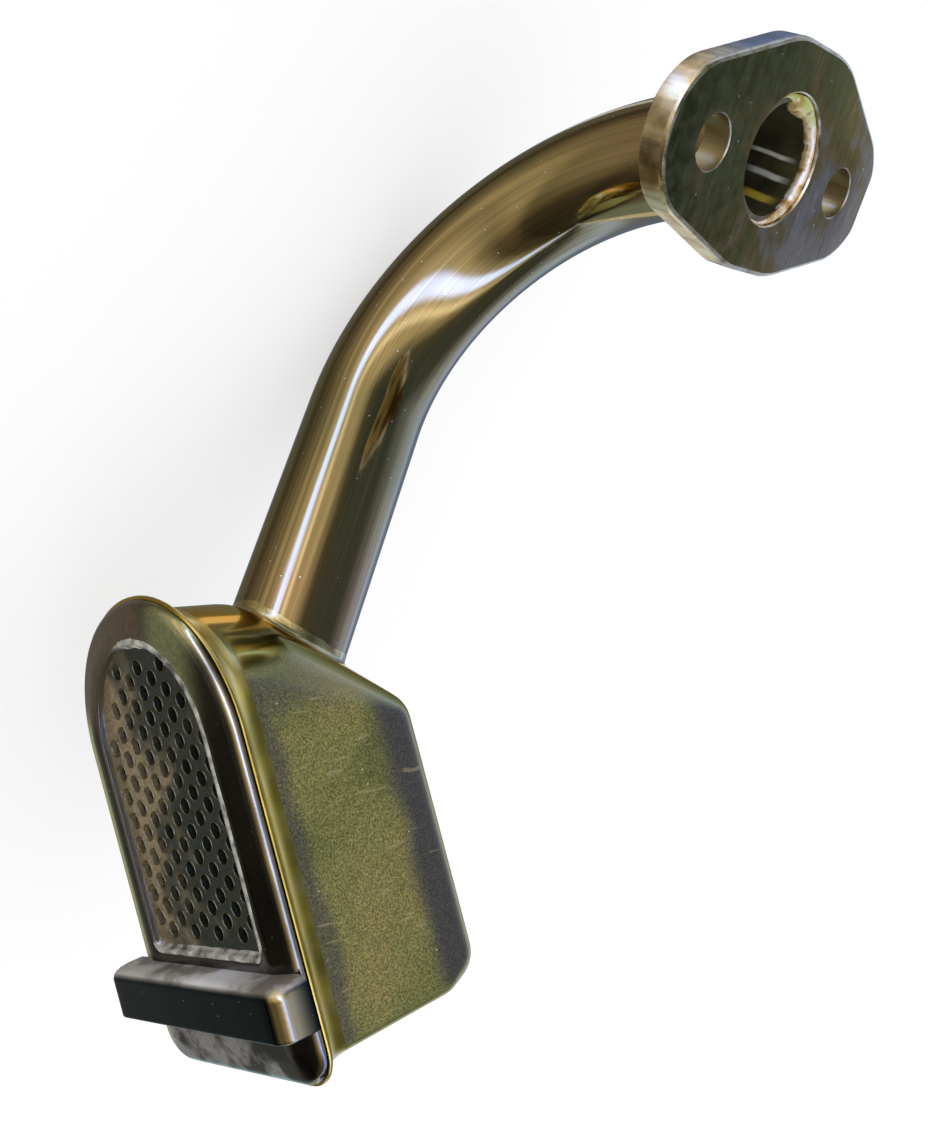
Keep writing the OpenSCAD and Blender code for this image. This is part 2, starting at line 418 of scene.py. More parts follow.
def spoke(radius, angle, z=0.0):
    return Vector((radius * math.cos(angle), radius * math.sin(angle), z))


def tube_ring(place, radius, sides=TUBE_SIDES):
    return [place @ spoke(radius, 2 * math.pi * k / sides) for k in range(sides)]


def tube_places():
    places = []
    for i in range(INLET_RINGS):
        places.append(AT_BEND_END @ move(0, 0, -(INLET_LEN + TUBE_END_IN) * (1 - i / INLET_RINGS)))
    for i in range(BEND_RINGS + 1):
        places.append(AT_BEND @ turn("Y", -BEND_ANGLE * (1 - i / BEND_RINGS)) @ move(-BEND_R, 0, 0))
    places.append(AT_OUTLET @ move(0, 0, -OUTLET_LEN / 2))
    return places


def slid_to(ring, z):
    return [p + TUBE_UP * ((z - p.z) / TUBE_UP.z) for p in ring]


def tube_rings(radius):
    rings = [tube_ring(place, radius) for place in tube_places()]
    return rings + [slid_to(tube_ring(AT_OUTLET, radius), -TUBE_RECESS)]


# %% Tube, with its flat map
outside = tube_rings(TUBE_R)
tube_mesh = mesh_of("tube", *skin(outside + tube_rings(TUBE_R - TUBE_WALL)[::-1]))
final_row = 2 * len(outside) - 1
flat = tube_mesh.uv_layers.new(name=FLAT_MAP)
for face in tube_mesh.polygons:
    face_rows = [v // TUBE_SIDES for v in face.vertices]
    rounds = [v % TUBE_SIDES for v in face.vertices]
    face.material_index = 1 if min(face_rows) >= len(outside) or max(face_rows) == final_row else 0
    seam = max(rounds) - min(rounds) > 1
    for i, row, k in zip(face.loop_indices, face_rows, rounds):
        round_share = (k + TUBE_SIDES * (seam and k == 0)) / TUBE_SIDES
        flat.data[i].uv = (round_share, min(row, final_row - row) / len(outside))
dress("tube_bent", tube_mesh, [TUBE_GOLD, TUBE_INSIDE], "tube", 50)

# %% [markdown]
# ## The strainer box
#
# The box is drawn from sheet: one end is round, the back has soft edges, and a slanted crown carries the
# tube. A convex hull over a few spheres and an outline gives that form, and a smaller hull cut out of it
# leaves the wall. Remeshing and smoothing then give the even skin that a press tool leaves.
#
# The flat sides were rubbed by the tool, so they are satin and grainy, with a darker band where the sheet
# was pulled over an edge. The rest stayed glossy, and the crown is a warmer gold on the side of the
# screen. Three painted masks, satin, band and warm, tell the finish which is which.

# %% Finish of the drawn sheet
film = Finish("sheet_olive", 0.2)
film.give("Specular Tint", (0.75, 0.6, 0.34))
satin = film.painted("satin")
patches = film.clouds(62.0, 4.0)
olive = film.ramp(patches, (0.34, 0.17, 0.18, 0.06), (0.52, 0.255, 0.25, 0.085), (0.72, 0.32, 0.27, 0.1))
grain = film.clouds(3000.0)
flecks = film.ramp(grain, (0.36, 0.45, 0.48, 0.42), (0.52, 1.0, 1.0, 1.0), (0.66, 1.75, 1.6, 1.35))
olive = film.toned(0.85, olive, flecks)
drawn = film.mixed(film.painted("band"), olive, film.toned(0.6, (0.085, 0.083, 0.08), flecks))
lines = film.scratches((45, 900, 900), (0.5, 0.3, 0.9), 0.69)
drawn = film.mixed(film.times(lines, 0.35), drawn, (0.55, 0.46, 0.24))
glossy = film.ramp(patches, (0.35, 0.44, 0.46, 0.17), (0.65, 0.6, 0.5, 0.18))
glossy = film.mixed(film.painted("warm"), glossy, (0.78, 0.39, 0.09))
dust = film.specks(430.0, 0.075, 0.35)
film.give("Base Color", film.mixed(dust, film.mixed(satin, glossy, drawn), (0.8, 0.76, 0.62)))
polish = film.spread(patches, 0.09, 0.15)
rubbing = film.times(satin, film.sums("SUBTRACT", film.spread(grain, 0.36, 0.52), polish))
film.give("Roughness", film.plus(polish, rubbing))
film.give("Metallic", film.fitted(satin, 0, 1, 1.0, 0.45))
film.relief(film.times(grain, satin), 0.16)
SHEET_OLIVE = film.material

# %% [markdown]
# The box, its lip and its frame all follow one outline with one round end. It is written once, as a ring
# of points that always has the same count, so that rings of different size can be joined.

# %% Outline with one round end
ROUND_STEPS = 40
SIDE_STEPS = 12
CORNER_STEPS = 10
END_STEPS = 14


def arc(cx, cy, r, start, stop, steps):
    turns = [math.radians(start + (stop - start) * i / steps) for i in range(steps)]
    return [(cx + r * math.cos(a), cy + r * math.sin(a)) for a in turns]


def run(x0, y0, x1, y1, steps):
    return [(x0 + (x1 - x0) * i / steps, y0 + (y1 - y0) * i / steps) for i in range(steps)]


def arch(r, length, corner, z):
    low = corner - length
    dots = (
        arc(0, 0, r, -90, 90, ROUND_STEPS)
        + run(0, r, low, r, SIDE_STEPS)
        + arc(low, r - corner, corner, 90, 180, CORNER_STEPS)
        + run(-length, r - corner, -length, corner - r, END_STEPS)
        + arc(low, corner - r, corner, 180, 270, CORNER_STEPS)
        + run(low, -r, 0, -r, SIDE_STEPS)
    )
    return [Vector((x, y, z)) for x, y in dots]


def boxed(rings):
    return [[AT_BOX @ p for p in ring] for ring in rings]


# %% Dots that the hull of the box is drawn over
SLANT_N = Vector((math.cos(math.radians(INLET_ANGLE)), 0, math.sin(math.radians(INLET_ANGLE))))
SLANT_U = Vector((SLANT_N.z, 0, -SLANT_N.x))
CROWN_R = 10.0
CROWN_UP = 10.8
CROWN_DOWN = (BOX_DEPTH - INLET_POINT.z - CROWN_R * (1 - SLANT_N.z)) / SLANT_U.z
SHOULDER_R = 20.0
SHOULDER_DEPTH = 20.0
SHOULDER_ROUND = 4.0
SHOULDER_DROP = 1.3
SHOULDER_STEPS = (60, 16)
BALL_STEPS = (20, 40)
BACK_TOP = -7.3
MOUTH_STRAIGHT = 5


def ball(x, y, z, r):
    rows, cols = BALL_STEPS
    dots = []
    for i in range(rows + 1):
        for k in range(cols):
            a, b = math.pi * i / rows, 2 * math.pi * k / cols
            spot = Vector((math.sin(a) * math.cos(b), math.sin(a) * math.sin(b), math.cos(a)))
            dots.append(Vector((x, y, z)) + r * spot)
    return dots


def shoulder(inset):
    around, across = SHOULDER_STEPS
    bead_r = SHOULDER_ROUND - inset
    dots = []
    for k in range(around):
        a = 2 * math.pi * k / around
        for i in range(across):
            b = 2 * math.pi * i / across
            r = SHOULDER_R - SHOULDER_ROUND + bead_r * math.cos(b)
            z = SHOULDER_DEPTH - SHOULDER_ROUND + bead_r * math.sin(b)
            dots.append(Vector((r * math.cos(a) - SHOULDER_DROP, r * math.sin(a), z)))
    return dots


def box_dots(inset, mouth):
    back = BOX_DEPTH - BOX_CORNER_R
    dots = shoulder(inset)
    for z in (mouth, MOUTH_STRAIGHT):
        dots += arch(BOX_R - inset, BOX_LEN - inset, BOX_EDGE_R - inset, z)
    for reach in (CROWN_UP, CROWN_DOWN):
        crown = INLET_POINT + reach * SLANT_U - CROWN_R * SLANT_N
        dots += ball(crown.x, 0, crown.z, CROWN_R - inset)
    for side in (-1, 1):
        corner_y = side * (BOX_R - BOX_CORNER_R)
        dots += ball(BACK_TOP, corner_y, back, BOX_CORNER_R - inset)
        dots += ball(BOX_CORNER_R - BOX_LEN, corner_y, back, BOX_CORNER_R - inset)
        edge_y = side * (BOX_R - BOX_EDGE_R)
        dots += ball(BOX_EDGE_R - BOX_LEN, edge_y, back - BOX_EDGE_R, BOX_EDGE_R - inset)
    return dots


# %% Hollow box with the hole for the tube
SAME_SPOT = 1e-6
CUT_PAST_MOUTH = 3.0
DRILL_REACH = 12
SKIN_VOXEL = 0.62
SKIN_ROUNDS = 8


def hull_object(name, inset, mouth):
    work = bmesh.new()
    for dot in box_dots(inset, mouth):
        work.verts.new((AT_BOX @ dot) * MM)
    made = bmesh.ops.convex_hull(work, input=work.verts)
    spare = [g for g in made["geom_interior"] + made["geom_unused"] if isinstance(g, bmesh.types.BMVert)]
    bmesh.ops.delete(work, geom=list(set(spare)), context="VERTS")
    bmesh.ops.remove_doubles(work, verts=work.verts, dist=SAME_SPOT)
    mesh = bpy.data.meshes.new(name)
    work.to_mesh(mesh)
    work.free()
    return loose_object(name, outward(mesh))


shell = hull_object("shell", 0.0, 0.0)
hollow = hull_object("hollow", BOX_WALL, -CUT_PAST_MOUTH)
box_outside = BVHTree.FromObject(shell, bpy.context.evaluated_depsgraph_get())
drill_ends = [tube_ring(AT_INLET @ move(0, 0, z), TUBE_R + TUBE_PLAY) for z in (-DRILL_REACH, DRILL_REACH)]
points, faces = skin(drill_ends, False)
faces += [list(range(TUBE_SIDES)), list(range(TUBE_SIDES, 2 * TUBE_SIDES))]
drill = loose_object("drill", mesh_of("drill", points, faces))
for tool in (hollow, drill):
    cut = shell.modifiers.new(tool.name, "BOOLEAN")
    cut.operation = "DIFFERENCE"
    cut.object = tool
    cut.solver = "EXACT"
even = shell.modifiers.new("even", "REMESH")
even.mode = "VOXEL"
even.voxel_size = SKIN_VOXEL * MM
soft = shell.modifiers.new("soft", "SMOOTH")
soft.factor = 0.5
soft.iterations = SKIN_ROUNDS
box_mesh = applied(shell)
for tool in (hollow, drill):
    bpy.data.objects.remove(tool)
print("box skin", len(box_mesh.vertices), "points")


# %% Where the sheet is satin, dark or warm
def satin_rule(p, normal):
    flat_side = ease(0.78, 0.95, abs(normal.y))
    below_crown = ease(9.5, 6.0, p.x) if p.z < 14 else 1.0
    return flat_side * below_crown


def band_rule(p, normal):
    to_back = min(BOX_DEPTH - p.z, (INLET_POINT - p).dot(SLANT_N))
    ragged = 1.4 * noise.noise(p * 0.12)
    at_back = ease(12.5, 8.0, to_back + ragged)
    at_lip = ease(5.0, 2.0, p.z - 4.6 + ragged) * 0.7
    at_top = ease(-3.0, 4.0, p.x + ragged) * 0.6
    return max(at_back, at_lip, at_top)


def warm_rule(p, normal):
    return ease(17, 9, p.y) * ease(6, 12, p.x) * ease(20, 12, p.z)


paint(box_mesh, FROM_BOX, warm=warm_rule, satin=satin_rule, band=band_rule)
dress("strainer_box", box_mesh, [SHEET_OLIVE], "strainer_housing", 60)

# %% [markdown]
# The mouth of the box is spread into a lip, and the frame of the screen is rolled over it. Both follow
# the same outline, so they are stacks of that outline at different distances from its edge. The lip is
# yellow chromate, painted the brightest yellow of the part as a painted reflection of the bright light it
# faces.

# %% Finish of the lip
film = Finish("lip_gold", 0.3)
patches = film.clouds(90.0)
# Yellow chromate, painted brighter as a painted reflection of the bright light that the lip faces
yellow = film.ramp(patches, (0.34, 0.66, 0.47, 0.08), (0.5, 0.97, 0.66, 0.1), (0.7, 1.0, 0.74, 0.22))
smears = film.streaks((60, 260, 260), 3.0)
film.give("Base Color", film.toned(0.25, yellow, smears))
film.give("Roughness", film.spread(smears, 0.2, 0.36))
film.relief(smears, 0.05)
LIP_GOLD = film.material

# %% Flared lip
FLARE_STEPS = 8
FLARE_RISE = 4.4
LIP_BREAK = 0.15
LIP_SEAT = 0.02
LIP_LAP = 0.7
LIP_LAP_TOP = 5.2
lip_rings = [
    arch(FRAME_R - 0.1, FRAME_LEN - 0.1, FRAME_CORNER_R, LIP_SEAT),
    arch(FRAME_R, FRAME_LEN, FRAME_CORNER_R, 0.25),
    arch(FRAME_R, FRAME_LEN, FRAME_CORNER_R, LIP_T - 0.2),
]
for i in range(FLARE_STEPS + 1):
    a = math.pi / 2 * i / FLARE_STEPS
    inset = LIP_BREAK + (LIP_REACH - LIP_BREAK) * math.sin(a)
    end_inset = LIP_BREAK + (LIP_END_REACH - LIP_BREAK) * math.sin(a)
    corner = FRAME_CORNER_R + (BOX_EDGE_R - FRAME_CORNER_R) * math.sin(a)
    rise = FLARE_RISE * (1 - math.cos(a))
    lip_rings.append(arch(FRAME_R - inset, FRAME_LEN - end_inset, corner, LIP_T + rise))
for z in (LIP_LAP_TOP, LIP_SEAT):
    lip_rings.append(arch(BOX_R - LIP_LAP, BOX_LEN - LIP_LAP, BOX_EDGE_R - 0.5, z))
dress("mouth_lip", mesh_of("lip", *skin(boxed(lip_rings))), [LIP_GOLD], None, 50)

# %% [markdown]
# The frame is dark brown and glossy. Its masks set its colour place by place: a dull top that is also
# painted paler as a painted highlight, an olive patch beside it that is a painted reflection, a gilt outer
# slope on the far side, a pale line on the near roll that is a painted highlight, and pale drops on the
# plate below the foot bar that are bare metal and a painted reflection in one.

# %% Finish of the frame
film = Finish("frame_brown", 0.4)
dull = film.painted("dull")
gilt = film.painted("gilt")
patches = film.clouds(75.0, 4.0)
brown = film.ramp(patches, (0.32, 0.05, 0.05, 0.043), (0.5, 0.075, 0.072, 0.06), (0.7, 0.11, 0.1, 0.08))
# Painted highlight: the dull top is painted a paler brown
brown = film.mixed(dull, brown, (0.36, 0.285, 0.2))
# Painted reflection: an olive patch beside the top
brown = film.mixed(film.painted("olive"), brown, (0.62, 0.66, 0.38))
drops = film.fitted(film.clouds(150.0), 0.44, 0.56, 0, 1)
# Bare drops below the foot bar, painted pale as a reflection as well
brown = film.mixed(film.times(film.painted("bare"), drops), brown, (0.8, 0.76, 0.82))
grain = film.clouds(1500.0)
brown = film.toned(0.4, brown, film.spread(grain, 0.5, 1.4))
# Painted highlight: a pale line along the near roll, kept in the mask named worn
brown = film.mixed(film.painted("worn"), brown, (1.0, 0.78, 0.4))
brown = film.mixed(gilt, brown, (0.72, 0.72, 0.2))
dust = film.specks(430.0, 0.07, 0.35)
film.give("Base Color", film.mixed(dust, brown, (0.8, 0.78, 0.7)))
film.give("Metallic", film.fitted(gilt, 0, 1, 1.0, 0.4))
film.give("Roughness", film.plus(film.spread(patches, 0.08, 0.16), film.times(dull, 0.24)))
film.relief(grain, 0.05)
FRAME_BROWN = film.material

# %% Rings of the rolled frame
WINDOW_EDGE_R = 0.45
SLOPE_STEPS = 4
ROLL_R = 2.29
ROLL_FROM = 13
ROLL_TO = 80
ROLL_STEPS = 9
SEAM = 0.5
SEAM_H = 0.12
SEAM_IN = 0.25
SEAT_W = 1.6


def frame_ring(inset, height):
    corner = max(1.0, FRAME_CORNER_R - inset)
    return arch(FRAME_R - inset, FRAME_LEN - inset, corner, -height)


frame_rings = [arch(WINDOW_R, WINDOW_LEN, WINDOW_CORNER_R, -SCREEN_FACE)]
for degrees in (0, 30, 60, 90):
    a = math.radians(degrees)
    inset = WINDOW_EDGE_R * (1 - math.cos(a))
    lift = WINDOW_EDGE_R * (1 - math.sin(a))
    frame_rings.append(arch(WINDOW_R + inset, WINDOW_LEN + inset, WINDOW_CORNER_R + inset, lift - FRAME_H))
roll = []
for i in range(ROLL_STEPS + 1):
    a = math.radians(ROLL_FROM + (ROLL_TO - ROLL_FROM) * i / ROLL_STEPS)
    over = math.sin(math.radians(ROLL_TO)) - math.sin(a)
    rise = math.cos(a) - math.cos(math.radians(ROLL_TO))
    roll.append((SEAM + ROLL_R * over, SEAM_H + ROLL_R * rise))
for i in range(SLOPE_STEPS):
    share = i / SLOPE_STEPS
    inset = FRAME_SLOPE + (roll[0][0] - FRAME_SLOPE) * share
    frame_rings.append(frame_ring(inset, FRAME_H + (roll[0][1] - FRAME_H) * share))
for inset, height in roll + [(SEAM + SEAM_IN, 0.0)]:
    frame_rings.append(frame_ring(inset, height))
for z in (0, -SCREEN_FACE):
    frame_rings.append(arch(WINDOW_R + SEAT_W, WINDOW_LEN + SEAT_W, WINDOW_CORNER_R, z))
frame_mesh = mesh_of("frame", *skin(boxed(frame_rings)))
print("frame of", len(frame_rings), "rings")


# %% Where the frame is dull or gilt, and where it carries painted highlights and painted reflections
# Dull top, which is also painted paler as a highlight
def dull_rule(p, normal):
    return ease(2, 9, p.x) * ease(9, 4, p.y)


# Place of the painted olive reflection beside the top
def olive_rule(p, normal):
    return ease(1, 7, p.x) * ease(5, 10, p.y) * ease(20, 15, p.y)


# Place of the painted highlight along the near roll
def worn_rule(p, normal):
    on_roll = ease(0.6, 0.9, -p.z) * ease(1.5, 1.1, -p.z)
    patchy = 0.55 + 0.6 * noise.noise(p * 0.16)
    return min(1.0, max(0.0, on_roll * ease(7, 15, p.y) * patchy))


def gilt_rule(p, normal):
    from_edge = FRAME_R - math.hypot(max(p.x, 0), p.y)
    return ease(5.0, 4.0, from_edge) * ease(-15, -19, p.y) * ease(9, 3, p.x)


# Pale drops below the foot bar: bare metal and a painted reflection
def bare_rule(p, normal):
    below_foot = -FOOT_TOP - FOOT_W
    return ease(below_foot, below_foot - 2, p.x) * ease(20, 15, p.y)


paint(frame_mesh, FROM_BOX, dull=dull_rule, bare=bare_rule, olive=olive_rule, worn=worn_rule, gilt=gilt_rule)
dress("rolled_frame", frame_mesh, [FRAME_BROWN], "screen_frame", 40)

# %% [markdown]
# ## The screen
#
# The perforated sheet keeps its CAD solid, which has true holes. Its finish is dark, paler and browner
# towards one side and nearly black towards the other. Punching leaves a raised burr round each hole, and
# that ring repeats on a staggered grid, so Geometry Nodes puts one ring on each point of the grid.


# %% Finish of the screen and of its burrs
def across_box(y):
    return BOX_SIDE.dot(AT_BOX @ Vector((0, y, 0)))


film = Finish("screen_dark", 0.2, 0.55)
cloud = film.clouds(110.0, 4.0)
# From paler brown on one side across to nearly black on the other
stain = film.plus(film.along(BOX_SIDE, across_box(-19), across_box(7)), film.spread(cloud, -0.4, 0.4))
steel = film.ramp(stain, (0.28, 0.46, 0.36, 0.21), (0.52, 0.15, 0.138, 0.09), (0.8, 0.042, 0.054, 0.043))
grain = film.clouds(1300.0)
film.give("Base Color", film.toned(0.6, steel, film.spread(grain, 0.5, 1.5)))
film.give("Roughness", film.spread(cloud, 0.2, 0.36))
film.relief(grain, 0.1)
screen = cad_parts["screen"]
screen.data.materials.clear()
screen.data.materials.append(film.material)

film = Finish("burr_steel")
cloud = film.clouds(900.0)
film.give("Base Color", film.ramp(cloud, (0.3, 0.22, 0.2, 0.11), (0.7, 0.46, 0.41, 0.22)))
film.give("Roughness", film.spread(cloud, 0.2, 0.45))
BURR_STEEL = film.material

# %% Places of the holes, by the rule of the CAD pattern
row_gap = HOLE_PITCH * math.sin(math.radians(60))
keep_off = HOLE_D / 2 + HOLE_MARGIN
hole_rows = math.floor((WINDOW_R - keep_off) / row_gap)
holes = []
for row in range(-hole_rows, hole_rows + 1):
    for i in range(-math.ceil(WINDOW_LEN / HOLE_PITCH), math.ceil(WINDOW_R / HOLE_PITCH) + 1):
        x = HOLE_PITCH * (i + (0 if row % 2 == 0 else 0.5))
        y = row_gap * row
        inside_round = x < 0 or math.hypot(x, y) < WINDOW_R - keep_off
        if x > keep_off - WINDOW_LEN and inside_round:
            holes.append(AT_BOX @ Vector((x, y, -SCREEN_FACE)))
print(len(holes), "holes")

# %% A tree that puts a burr ring on every point
BURR_SIDES = 28
BURR_FACETS = 6
burrs = bpy.data.node_groups.new("burr_rings", "GeometryNodeTree")
burrs.interface.new_socket("Hole centres", in_out="INPUT", socket_type="NodeSocketGeometry")
for label in ("Ring radius", "Burr radius"):
    burrs.interface.new_socket(label, in_out="INPUT", socket_type="NodeSocketFloat")
burrs.interface.new_socket("Tilt", in_out="INPUT", socket_type="NodeSocketRotation")
burrs.interface.new_socket("Geometry", in_out="OUTPUT", socket_type="NodeSocketGeometry")
start = burrs.nodes.new("NodeGroupInput")
ring = burrs.nodes.new("GeometryNodeCurvePrimitiveCircle")
ring.inputs["Resolution"].default_value = BURR_SIDES
section = burrs.nodes.new("GeometryNodeCurvePrimitiveCircle")
section.inputs["Resolution"].default_value = BURR_FACETS
sweep = burrs.nodes.new("GeometryNodeCurveToMesh")
put = burrs.nodes.new("GeometryNodeInstanceOnPoints")
real = burrs.nodes.new("GeometryNodeRealizeInstances")
shaded = burrs.nodes.new("GeometryNodeSetMaterial")
shaded.inputs["Material"].default_value = BURR_STEEL
end = burrs.nodes.new("NodeGroupOutput")
wires = [
    (start, "Ring radius", ring, "Radius"),
    (start, "Burr radius", section, "Radius"),
    (ring, "Curve", sweep, "Curve"),
    (section, "Curve", sweep, "Profile Curve"),
    (start, "Hole centres", put, "Points"),
    (sweep, "Mesh", put, "Instance"),
    (start, "Tilt", put, "Rotation"),
    (put, "Instances", real, "Geometry"),
    (real, "Geometry", shaded, "Geometry"),
    (shaded, "Geometry", end, "Geometry"),
]
for source, output, target, entry in wires:
    burrs.links.new(source.outputs[output], target.inputs[entry])
print("burr tree of", len(burrs.nodes), "nodes")

# %% Burrs on the grid of holes
BURR_R = 0.11
BURR_GAP = 0.12
burr_sizes = {
    "Ring radius": (HOLE_D / 2 + BURR_GAP) * MM,
    "Burr radius": BURR_R * MM,
    "Tilt": tuple(AT_BOX.to_euler()),
}
hole_dots = bpy.data.meshes.new("hole_dots")
hole_dots.from_pydata([p * MM for p in holes], [], [])
grid = loose_object("hole_dots", hole_dots)
maker = grid.modifiers.new("burr_rings", "NODES")
maker.node_group = burrs
for socket in burrs.interface.items_tree:
    if socket.in_out == "INPUT" and socket.name in burr_sizes:
        maker[socket.identifier] = burr_sizes[socket.name]
dress("hole_burrs", outward(applied(grid)), [BURR_STEEL], None, 60)

# %% [markdown]
# The screen is soldered into its frame. The solder climbed the edge of the window in an uneven line: wide
# along one side, in a puddle across the bottom and in a small tongue at the top. It is a thin ribbon that
# starts on the sheet, climbs the wall and ends on the crest, and a smooth noise sets how far it gets.

# %% Finish of the solder
film = Finish("solder_pale", 0.3, 0.3)
cloud = film.clouds(420.0, 4.0)
pale = film.ramp(cloud, (0.34, 0.16, 0.155, 0.13), (0.5, 0.62, 0.6, 0.53), (0.66, 1.0, 0.96, 0.84))
film.give("Base Color", film.mixed(film.painted("thin"), pale, (0.1, 0.085, 0.05)))
film.give("Roughness", film.spread(cloud, 0.1, 0.3))
film.relief(cloud, 0.3)
SOLDER_PALE = film.material

# %% Solder round the window
SOLDER_ROWS = 6
window = arch(WINDOW_R, WINDOW_LEN, WINDOW_CORNER_R, 0)


def solder_amount(p):
    side = ease(2, 8, p.y) * ease(-WINDOW_LEN, -WINDOW_LEN + 3, p.x)
    bottom = ease(-WINDOW_LEN + 1.6, -WINDOW_LEN + 0.2, p.x)
    top = ease(8, 13, p.x) * ease(-6, 2, p.y) * 0.9
    return 0.05 + 0.75 * max(side, bottom * 0.5, top)


def inward_at(ring, k):
    along_ring = ring[(k + 1) % len(ring)] - ring[k - 1]
    return Vector((-along_ring.y, along_ring.x, 0)).normalized()


def solder_section(p):
    # From the sheet to the crest: how far into the window, and how high
    amount = solder_amount(p)
    ripple = 1 + 0.45 * noise.noise(p * 0.55) + 0.3 * noise.noise(p * 1.7 + Vector((9, 0, 0)))
    to_sheet = amount * ripple * 1.5
    to_crest = amount * ripple * 1.05
    return [
        (to_sheet, SCREEN_FACE - 0.05),
        (to_sheet * 0.5, SCREEN_FACE + 0.18 * amount),
        (0.22 * amount, SCREEN_FACE + (FRAME_H - SCREEN_FACE) * 0.6),
        (-0.1, FRAME_H + 0.1 * amount),
        (-0.35 - to_crest * 0.6, FRAME_H + 0.14 * amount),
        (-0.4 - to_crest, FRAME_H - 0.06),
    ]


def thin_rule(p, normal):
    return ease(0.3, 0.12, solder_amount(p))


solder_rings = [[] for row in range(SOLDER_ROWS)]
for k, p in enumerate(window):
    inner = inward_at(window, k)
    for ring, (inside, height) in zip(solder_rings, solder_section(p)):
        ring.append(p + inner * inside - Vector((0, 0, height)))
solder_mesh = mesh_of("solder", *skin(boxed(solder_rings)))
paint(solder_mesh, FROM_BOX, thin=thin_rule)
dress("solder_line", solder_mesh, [SOLDER_PALE], None, 80)

# %% [markdown]
# ## The foot bar
#
# A short flat bar lies across the frame below the window and keeps the screen off the floor of the sump.
# It is one profile pushed along the box. Its upper front edge is rolled over, the others are only broken.
# Its front is painted nearly black as painted shade. The top is rubbed rougher and painted pale under an old
# film of oil, with a painted reflection across its middle. One corner carries a painted highlight, and the
# ends are painted a paler, duller grey for the light they catch, so three masks follow the way that the
# surface faces.

# %% Finish of the foot bar
film = Finish("foot_navy", 0.05)
rubbed = film.painted("rubbed")
end_face = film.painted("end_face")
cloud = film.clouds(130.0, 4.0)
# Painted shade: the front is nearly black
dark = film.ramp(cloud, (0.3, 0.002, 0.014, 0.026), (0.55, 0.005, 0.022, 0.034), (0.76, 0.02, 0.034, 0.038))
grain = film.clouds(1600.0)
dark = film.toned(0.3, dark, film.spread(grain, 0.5, 1.5))
streak = film.along(BOX_SIDE, across_box(-9), across_box(19))
# Painted reflection: paler across the middle of the top
scuff = film.ramp(streak, (0.0, 0.62, 0.58, 0.52), (0.5, 1.0, 0.97, 0.92), (1.0, 0.55, 0.51, 0.46))
oil_film = film.ramp(cloud, (0.38, 0.3, 0.26, 0.2), (0.48, 1.0, 1.0, 1.0), (0.62, 1.2, 1.2, 1.25))
# Painted light on the top, which is also rubbed rougher
dark = film.mixed(rubbed, dark, film.toned(0.8, scuff, oil_film))
# Painted highlight on one front corner
dark = film.mixed(film.painted("corner"), dark, (0.85, 0.66, 0.32))
# Painted light: the ends are paler and less metallic
dark = film.mixed(end_face, dark, (0.29, 0.27, 0.21))
dust = film.specks(620.0, 0.09, 0.3)
film.give("Base Color", film.mixed(dust, dark, (0.8, 0.8, 0.76)))
film.give("Metallic", film.fitted(film.most(rubbed, end_face), 0, 1, 1.0, 0.1))
film.give("Roughness", film.plus(film.spread(grain, 0.1, 0.2), film.times(rubbed, 0.4)))
film.relief(grain, 0.04)
FOOT_NAVY = film.material

# %% Foot bar
BAR_ROLL = 1.8
BAR_BREAK = 0.5
BAR_FRONT_STEPS = 24
SEAT_IN = 2.9
ROUND_ENDS = 7


def bar_ring(x, drop):
    half = FRAME_R + FOOT_REACH - drop
    front = FRAME_H + FOOT_H - drop
    flat_end = half - FOOT_CORNER_R
    level = front - FOOT_CORNER_R
    dots = [(half, FOOT_RISE), (FRAME_R - SEAT_IN, FOOT_RISE), (CREST_R, FRAME_H)]
    dots += [(-CREST_R, FRAME_H), (SEAT_IN - FRAME_R, FOOT_RISE), (-half, FOOT_RISE)]
    dots += arc(-flat_end, level, FOOT_CORNER_R, 180, 90, CORNER_STEPS)
    dots += run(-flat_end, front, flat_end, front, BAR_FRONT_STEPS)
    dots += arc(flat_end, level, FOOT_CORNER_R, 90, 0, CORNER_STEPS)
    dots.append((half, level))
    return [AT_BOX @ Vector((-FOOT_TOP - x, w, -h)) for w, h in dots]


quarter = [math.pi / 2 * i / (ROUND_ENDS - 1) for i in range(ROUND_ENDS)]
bar_rings = [bar_ring(BAR_ROLL * (1 - math.cos(a)), BAR_ROLL * (1 - math.sin(a))) for a in quarter]
for x in (BAR_ROLL + 0.2, FOOT_W - BAR_BREAK - 0.2):
    bar_rings.append(bar_ring(x, 0))
for a in quarter:
    bar_rings.append(bar_ring(FOOT_W - BAR_BREAK * (1 - math.sin(a)), BAR_BREAK * (1 - math.cos(a))))
points, faces = skin(bar_rings, False)
sides = len(bar_rings[0])
faces += [list(range(sides)), list(range(len(points) - sides, len(points)))]
bar_mesh = mesh_of("bar", points, faces)
print("bar of", len(bar_rings), "rings")


# %% Where the foot bar carries painted light: its ends, its top and one corner
# Ends, painted paler for the light they catch
def end_rule(p, normal):
    return ease(0.8, 0.97, abs(normal.y))


# Top, rubbed rougher and painted paler for the light it catches
def rubbed_rule(p, normal):
    return ease(0.3, 0.75, normal.x)


# Front corner that carries a painted highlight
def corner_rule(p, normal):
    return ease(0.2, 0.5, normal.y) * ease(0.2, 0.5, -normal.z)


paint(bar_mesh, FROM_BOX, end_face=end_rule, rubbed=rubbed_rule, corner=corner_rule)
dress("foot_rail", bar_mesh, [FOOT_NAVY], "foot_bar", 32)

